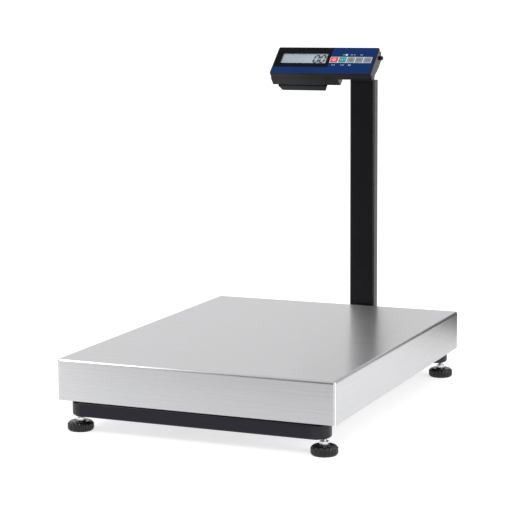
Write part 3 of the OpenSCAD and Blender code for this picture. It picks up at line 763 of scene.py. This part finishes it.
def make_front_case():
    """Moulded shell: rolled edges round the face, a recess for the overlay, and openings behind it."""
    roll = 2.2 * MM
    corner = 4 * MM
    steps = 6

    def ring(inset, z):
        points = rectangle(CASE_LOW, CASE_HIGH, -inset, max(corner - inset, 0.3 * MM), 6)
        return [(x, y, z) for x, y in points]
    rings = [ring(0.5 * MM, CASE_LOW.z), ring(0, CASE_LOW.z + 0.5 * MM)]
    for i in range(steps + 1):
        a = math.radians(90 * i / steps)
        rings.append(ring(roll * (1 - math.cos(a)), CASE_HIGH.z - roll * (1 - math.sin(a))))
    bm = bmesh.new()
    loft(bm, rings)
    shell = new_object("front_shell", bm, HEAD)
    cavity = prism("cavity", rectangle(CASE_LOW, CASE_HIGH, -CASE_WALL, corner - CASE_WALL),
                   CASE_LOW.z - MM, CASE_HIGH.z - CASE_WALL, HEAD)
    recess = prism("recess", rectangle(FACE_LOW, FACE_HIGH, 0.1 * MM, 1.1 * MM), FACE_LOW.z,
                   FACE_HIGH.z + MM, HEAD)
    opening = prism("opening", window_outline(WINDOW_EDGE + 0.1 * MM), LCD_LOW.z, FACE_HIGH.z + MM, HEAD)
    holes = bmesh.new()
    add_key_holes(holes, CASE_HIGH.z - 2 * CASE_WALL, CASE_HIGH.z + MM)
    cut(shell, cavity, recess, opening, new_object("holes", holes, HEAD))
    return stand_for(shade(shell, 30), "front_case", CASE_PLASTIC)


def make_rear_case():
    """The tray behind the display, its flange and its cheek, with softened edges."""
    refined("rear_case", CASE_PLASTIC, 0.9 * MM, 3)


def make_battery_cover():
    """Deep cover with finger grooves across its latch end."""
    cover = bevel(copied("battery_cover"), 1.6 * MM, 3, 25)
    low, high = local_box("battery_cover", HEAD)
    grooves = 4
    groove_r = 0.7 * MM
    groove_l = 20 * MM
    spacing = 3 * MM
    first_x = high.x - 16 * MM
    start = (low.y + high.y) / 2 - 14 * MM
    for i in range(grooves):
        x = first_x - spacing * i
        bm = bmesh.new()
        place = HEAD @ along((x, start, low.z), (x, start + groove_l, low.z))
        turned(bm, [(groove_r, 0), (groove_r, groove_l)], 16, place)
        cut(cover, new_object("groove", bm))
    return stand_for(shade(cover, 30), "battery_cover", CASE_PLASTIC)


def make_case_screws():
    """Pan-head screws with a cross recess, facing down: two in the deep tray, two in the shallow flange."""
    low, high = local_box("case_screws", HEAD)
    head_r = 2.9 * MM
    head_h = 1.8 * MM
    shank_r = 1.5 * MM
    slot_r = 1.6 * MM
    slot_half = 0.35 * MM
    tray_z = low.z + head_h
    flange_z = CASE_LOW.z - CASE_WALL
    places = [(-155, -64, tray_z), (-155, -36, tray_z), (22, -66, flange_z), (66, -66, flange_z)]
    bm = bmesh.new()
    slots = (bmesh.new(), bmesh.new())
    for x, y, z in places:
        place = Matrix.Translation((x * MM, y * MM, z)) @ Matrix.Rotation(math.pi, 4, "X")
        shank = [(shank_r - 0.3 * MM, z - high.z), (shank_r, z - high.z + 0.4 * MM), (shank_r, 0)]
        head = [(head_r, 0), (head_r, 0.4 * head_h), (0.93 * head_r, 0.75 * head_h), (0.7 * head_r, head_h)]
        turned(bm, shank + head, 32, place)
        for k, slot in enumerate(slots):
            arm = place @ Matrix.Rotation(math.pi / 2 * k + math.pi / 4, 4, "Z")
            ring = [(sx * slot_r, sy * slot_half) for sx, sy in SQUARE]
            loft(slot, [[arm @ Vector((px * taper, py, pz)) for px, py in ring]
                        for taper, pz in ((0.5, 0.4 * head_h), (1.0, head_h + 0.2 * MM))])
    screws = new_object("case_screws_fine", bm, HEAD)
    for slot in slots:
        cut(screws, new_object("slots", slot, HEAD))
    stand_for(shade(screws, 30), "case_screws", BLACK_STEEL)


def make_power_jack():
    """Barrel socket with a flange that lies on the case and a bore for the plug."""
    low, high = local_box("power_jack", HEAD)
    centre = (low + high) / 2
    place = HEAD @ Matrix.Translation((centre.x, centre.y, 0)) @ Matrix.Rotation(math.pi, 4, "X")
    rim = 1.5 * MM
    soft = 0.4 * MM
    bore_r = 2.75 * MM
    bore_depth = 9.5 * MM
    flange_r = (high.x - low.x) / 2
    body_r = flange_r - rim
    top = -low.z
    profile = [(body_r - soft, -high.z), (body_r, soft - high.z), (body_r, top - rim), (flange_r, top - rim)]
    profile += [(flange_r, top - soft), (flange_r - soft, top)]
    profile += [(bore_r + 0.35 * MM, top), (bore_r, top - 0.3 * MM), (bore_r, top - bore_depth)]
    bm = bmesh.new()
    turned(bm, profile, 40, place)
    stand_for(shade(new_object("power_jack_fine", bm), 30), "power_jack", CAP_PLASTIC)


# ---- head: face ----

FILM_TOP = FACE_HIGH.z - 0.2 * MM
INK = 0.05 * MM


def head_print(name, bm, material, slot, body="head"):
    """Flat printing drawn in the head's frame."""
    return settle(shade(new_object(name, bm, HEAD), 40), material, body, slot)


def make_overlay():
    """Blue film, a black surround round the display, and a pale frame round the keys."""
    field = prism("overlay_field", rectangle(FACE_LOW, FACE_HIGH, 0, MM), FACE_LOW.z, FILM_TOP, HEAD)
    surround_low = (FACE_LOW.x, -53 * MM)
    surround_high = (-23.5 * MM, FACE_HIGH.y)
    print_top = FILM_TOP + INK
    surround = prism("display_surround", rectangle(surround_low, surround_high, 0, MM), FILM_TOP,
                     print_top, HEAD)
    border_low = KEY_BOXES[0][0]
    border_high = KEY_BOXES[-1][1]
    margin = 1.3 * MM
    border = prism("key_frame", rectangle(border_low, border_high, margin, 0.8 * MM), FILM_TOP,
                   print_top, HEAD)
    for piece in (field, surround, border):
        opening = prism("opening", window_outline(), FACE_LOW.z - MM, FACE_HIGH.z + MM, HEAD)
        holes = bmesh.new()
        add_key_holes(holes, FACE_LOW.z - MM, FACE_HIGH.z + MM)
        cut(piece, opening, new_object("holes", holes, HEAD))
    slot = SLOT_OF["face_overlay"]
    settle(shade(field), BLUE_FILM, "head", slot, "face_overlay")
    settle(shade(surround), BLACK_FILM, "head", slot)
    settle(shade(border), PALE_INK, "head", slot)


def add_bar(bm, start, stop, half, z0, z1):
    """Flat printed bar between two points."""
    a, b = Vector(start), Vector(stop)
    side = Vector((-(b - a).y, (b - a).x)).normalized() * half
    add_prism(bm, [tuple(p) for p in (a - side, b - side, b + side, a + side)], z0, z1)


def add_arc(bm, centre, r, half, a0, a1, z0, z1, steps=20):
    """Flat printed arc, between two angles in degrees."""
    outline = []
    for i in range(steps + 1):
        a = math.radians(a0 + (a1 - a0) * i / steps)
        outline.append((centre[0] + (r + half) * math.cos(a), centre[1] + (r + half) * math.sin(a)))
    for i in range(steps, -1, -1):
        a = math.radians(a0 + (a1 - a0) * i / steps)
        outline.append((centre[0] + (r - half) * math.cos(a), centre[1] + (r - half) * math.sin(a)))
    add_prism(bm, outline, z0, z1)


def make_signs():
    """Small plain signs beside the keys: arrows, a lamp, a box and bars, none of them lettering."""
    bm = bmesh.new()
    z0, z1 = FILM_TOP, FILM_TOP + INK
    upper = -12 * MM
    lower = -45.5 * MM
    half = 0.45 * MM
    for x in (5, 24, 48):
        add_bar(bm, (x * MM, upper), ((x + 6) * MM, upper), half, z0, z1)
    add_arc(bm, (14.5 * MM, upper), 1.5 * MM, 1.2 * MM, 0, 359, z0, z1)
    add_bar(bm, (32 * MM, upper), (36 * MM, upper), half, z0, z1)
    for x in (-15, 7):
        add_bar(bm, (x * MM, lower), ((x + 4) * MM, lower), half, z0, z1)
        tip = (x + 9) * MM
        tail = tip - 3 * MM
        add_prism(bm, [(tip, lower), (tail, lower + 1.5 * MM), (tail, lower - 1.5 * MM)], z0, z1)
    left, right = 27 * MM, 32 * MM
    floor, roof = lower - 1.6 * MM, lower + 1.6 * MM
    box = [(left, floor), (right, floor), (right, roof), (left, roof)]
    for a, b in zip(box, box[1:] + box[:1]):
        add_bar(bm, a, b, 0.3 * MM, z0, z1)
    head_print("face_signs", bm, PALE_INK, SLOT_OF["face_overlay"])


def add_zero(bm, corner, width, height, lean, z0, z1):
    """A leaning zero in six separate segments."""
    t = width * 0.24
    gap = width * 0.05
    mid = height / 2
    segments = [((0, height), (width, height)), ((width, height), (width, mid)), ((width, mid), (width, 0)),
                ((0, 0), (width, 0)), ((0, 0), (0, mid)), ((0, mid), (0, height))]
    for ends in segments:
        a, b = (Vector((x + y * lean, y)) for x, y in ends)
        run = (b - a).normalized() * (t + gap)
        side = Vector((-run.y, run.x)).normalized() * t
        a, b = a + run, b - run
        tip = run.normalized() * t
        outline = [a - tip, a - side, b - side, b + tip, b + side, a + side]
        add_prism(bm, [(corner[0] + p.x, corner[1] + p.y) for p in outline], z0, z1)


def make_display():
    """Display module with a grey ground and a plain zero reading."""
    stand_for(shade(bevel(copied("lcd_module"), 0.3 * MM)), "lcd_module", DISPLAY)
    bm = bmesh.new()
    z0, z1 = LCD_HIGH.z, LCD_HIGH.z + INK
    height = 22 * MM
    width = 10.2 * MM
    lean = 0.16
    base_y = (LCD_LOW.y + LCD_HIGH.y) / 2 - height / 2
    pitch = 15.5 * MM
    right = GLASS_HIGH.x - 19 * MM
    for column in (0, 1):
        add_zero(bm, (right - column * pitch, base_y), width, height, lean, z0, z1)
    add_arc(bm, (right - 3 * MM, base_y + 0.4 * MM), 0.7 * MM, 0.65 * MM, 0, 359, z0, z1)
    head_print("display_digits", bm, DARK_INK, SLOT_OF["lcd_module"])
    refined("display_window", WINDOW, 0.2 * MM)


def power_sign(bm, c, z0, z1):
    """Broken ring with a bar in its gap."""
    half = 0.55 * MM
    add_arc(bm, c, 3.4 * MM, half, 125, 415, z0, z1, 32)
    add_bar(bm, (c.x, c.y + 1 * MM), (c.x, c.y + 5 * MM), half, z0, z1)


def zero_sign(bm, c, z0, z1):
    """Two arrows that point at a small box."""
    thin = 0.3 * MM
    box_x = 1.3 * MM
    box_y = 1.6 * MM
    for s in (-1, 1):
        tip = c.x + s * 3.4 * MM
        tail = tip + s * 2 * MM
        add_bar(bm, (c.x + s * 7 * MM, c.y), (c.x + s * 4.5 * MM, c.y), 0.35 * MM, z0, z1)
        add_prism(bm, [(tip, c.y), (tail, c.y + 1.2 * MM), (tail, c.y - 1.2 * MM)], z0, z1)
    for s in (1, -1):
        add_bar(bm, (c.x + s * box_x, c.y - box_y), (c.x + s * box_x, c.y + box_y), thin, z0, z1)
    for s in (-1, 1):
        y = c.y + s * (box_y + thin)
        add_bar(bm, (c.x - box_x, y), (c.x + box_x, y), thin, z0, z1)


def tare_sign(bm, c, z0, z1):
    """Two level bars."""
    for s in (-1, 1):
        y = c.y + s * 2 * MM
        add_bar(bm, (c.x - 4 * MM, y), (c.x + 4 * MM, y), 0.55 * MM, z0, z1)


def mode_sign(bm, c, z0, z1):
    """Three dots."""
    for k in (-1, 0, 1):
        add_arc(bm, (c.x + k * 4 * MM, c.y), 0.7 * MM, 0.6 * MM, 0, 359, z0, z1)


def enter_sign(bm, c, z0, z1):
    """Arrow that turns back to the left."""
    half = 0.55 * MM
    y = c.y - 1 * MM
    add_bar(bm, (c.x - 3 * MM, y), (c.x + 4 * MM, y), half, z0, z1)
    add_bar(bm, (c.x + 4 * MM, y), (c.x + 4 * MM, c.y + 3 * MM), half, z0, z1)
    tail = c.x - 2.5 * MM
    add_prism(bm, [(c.x - 5 * MM, y), (tail, c.y + 0.8 * MM), (tail, c.y - 2.8 * MM)], z0, z1)


KEY_LOOKS = ((RED_FILM, PALE_INK, power_sign),
             (TEAL_FILM, PALE_INK, zero_sign),
             (GREY_FILM, DARK_INK, tare_sign),
             (GREY_FILM, DARK_INK, mode_sign),
             (GREY_FILM, DARK_INK, enter_sign))


def make_key(name, low, high, tint, ink, draw_sign):
    """Key cap with soft edges on a square stem, and a small sign printed on it."""
    node = f"key_{name}"
    soft = 0.25 * MM
    pad_t = 2.4 * MM
    stem_half = 4 * MM
    pad_z = high.z - pad_t
    top_z = high.z - INK
    centre = (low + high) / 2

    def ring(inset, z, r):
        return [(x, y, z) for x, y in rectangle(low, high, -inset, r, 5)]
    bm = bmesh.new()
    loft(bm, [ring(soft, pad_z, KEY_CORNER), ring(0, pad_z + soft, KEY_CORNER),
              ring(0, top_z - soft, KEY_CORNER), ring(0.3 * soft, top_z - 0.3 * soft, KEY_CORNER),
              ring(soft, top_z, KEY_CORNER - 0.1 * MM)])
    stem = [(centre.x + sx * stem_half, centre.y + sy * stem_half) for sx, sy in SQUARE]
    add_prism(bm, stem, low.z, pad_z)
    stand_for(shade(new_object(f"{node}_cap_fine", bm, HEAD)), node, tint)
    sign = bmesh.new()
    draw_sign(sign, centre, top_z, high.z)
    head_print(f"{node}_sign", sign, ink, SLOT_OF[node], BODY_OF[node])


def make_head():
    make_front_case()
    make_rear_case()
    make_battery_cover()
    make_case_screws()
    make_power_jack()
    make_tilt_screw()
    make_overlay()
    make_signs()
    make_display()
    for name, box, looks in zip(KEYS, KEY_BOXES, KEY_LOOKS):
        make_key(name, *box, *looks)


# ---- studio ----

def make_floor():
    """A pale floor that glows a little, like a light table, so that shadows on it stay soft."""
    s = Shader("studio_floor", (0.5, 0.5, 0.5), 0.9, Specular_IOR_Level=0.0)
    s.tint(s.noise(0.6, 2.0), (0.49, 0.49, 0.49), (0.51, 0.51, 0.51))
    s.bsdf.inputs["Emission Color"].default_value = (1.0, 1.0, 1.0, 1.0)
    s.bsdf.inputs["Emission Strength"].default_value = 0.7
    bm = bmesh.new()
    half = 400.0
    bm.faces.new([bm.verts.new((-sx * half, -sy * half, 0)) for sx, sy in SQUARE])
    floor = new_object("floor", bm)
    floor.data.materials.append(s.material)


def make_card(name, start, stop, height, grey):
    """Standing card that only gloss sees: it shades a reflection, as a black flag does in a studio."""
    s = Shader(name, (grey, grey, grey), 0.9, Specular_IOR_Level=0.0)
    s.tint(s.noise(2.0, 2.0), (0.95 * grey,) * 3, (1.05 * grey,) * 3)
    bm = bmesh.new()
    corners = [(*start, 0.002), (*stop, 0.002), (*stop, height), (*start, height)]
    bm.faces.new([bm.verts.new(c) for c in corners])
    card = new_object(name, bm)
    card.data.materials.append(s.material)
    card.visible_camera = False
    card.visible_diffuse = False
    card.visible_shadow = False
    card.visible_transmission = False


def make_light(name, place, target, size, power):
    """Soft box that faces a point."""
    data = bpy.data.lights.new(name, "AREA")
    data.shape = "RECTANGLE"
    data.size, data.size_y = size
    data.energy = power
    light = bpy.data.objects.new(name, data)
    light.location = place
    light.rotation_euler = (Vector(target) - Vector(place)).to_track_quat("-Z", "Y").to_euler()
    bpy.context.scene.collection.objects.link(light)


def make_studio():
    """White surroundings, a pale floor, two dark cards and two soft boxes."""
    world = bpy.data.worlds.new("studio")
    world.use_nodes = True
    background = world.node_tree.nodes["Background"]
    background.inputs["Color"].default_value = (1.0, 1.0, 1.0, 1.0)
    background.inputs["Strength"].default_value = 1.0
    scene = bpy.context.scene
    scene.world = world
    scene.view_settings.view_transform = "Standard"
    make_floor()
    make_card("front_card", (-0.95, -1.55), (0.2, -1.3), 1.4, 0.05)
    make_card("side_card", (0.34, 0.8), (0.68, 1.0), 1.0, 0.05)
    middle = (0, 0, 0.3)
    make_light("key_light", (-2.2, -2.6, 2.6), middle, (0.5, 0.5), 50)
    make_light("side_light", (3.0, -0.9, 1.1), middle, (0.2, 2.2), 50)


def make_camera():
    """A long lens, seen from the front right and a little above; the angles are in radians."""
    place = Matrix.Translation((1.43023, -3.45460, 0.87402))
    yaw = -0.40418
    pitch = 0.14846
    roll = -0.00676
    data = bpy.data.cameras.new("camera")
    data.sensor_width = 36
    data.lens = 123.04
    camera = bpy.data.objects.new("camera", data)
    turn = Matrix.Rotation(-yaw, 4, "Z") @ Matrix.Rotation(math.pi / 2 - pitch, 4, "X")
    camera.matrix_world = place @ turn @ Matrix.Rotation(roll, 4, "Z")
    bpy.context.scene.collection.objects.link(camera)
    bpy.context.scene.camera = camera


make_camera()
make_studio()
make_pan()
make_plain_parts()
make_end_caps()
make_feet()
make_overload_stops()
make_mast_bolts()
make_cell_bolts()
make_bracket_screws()
make_head()
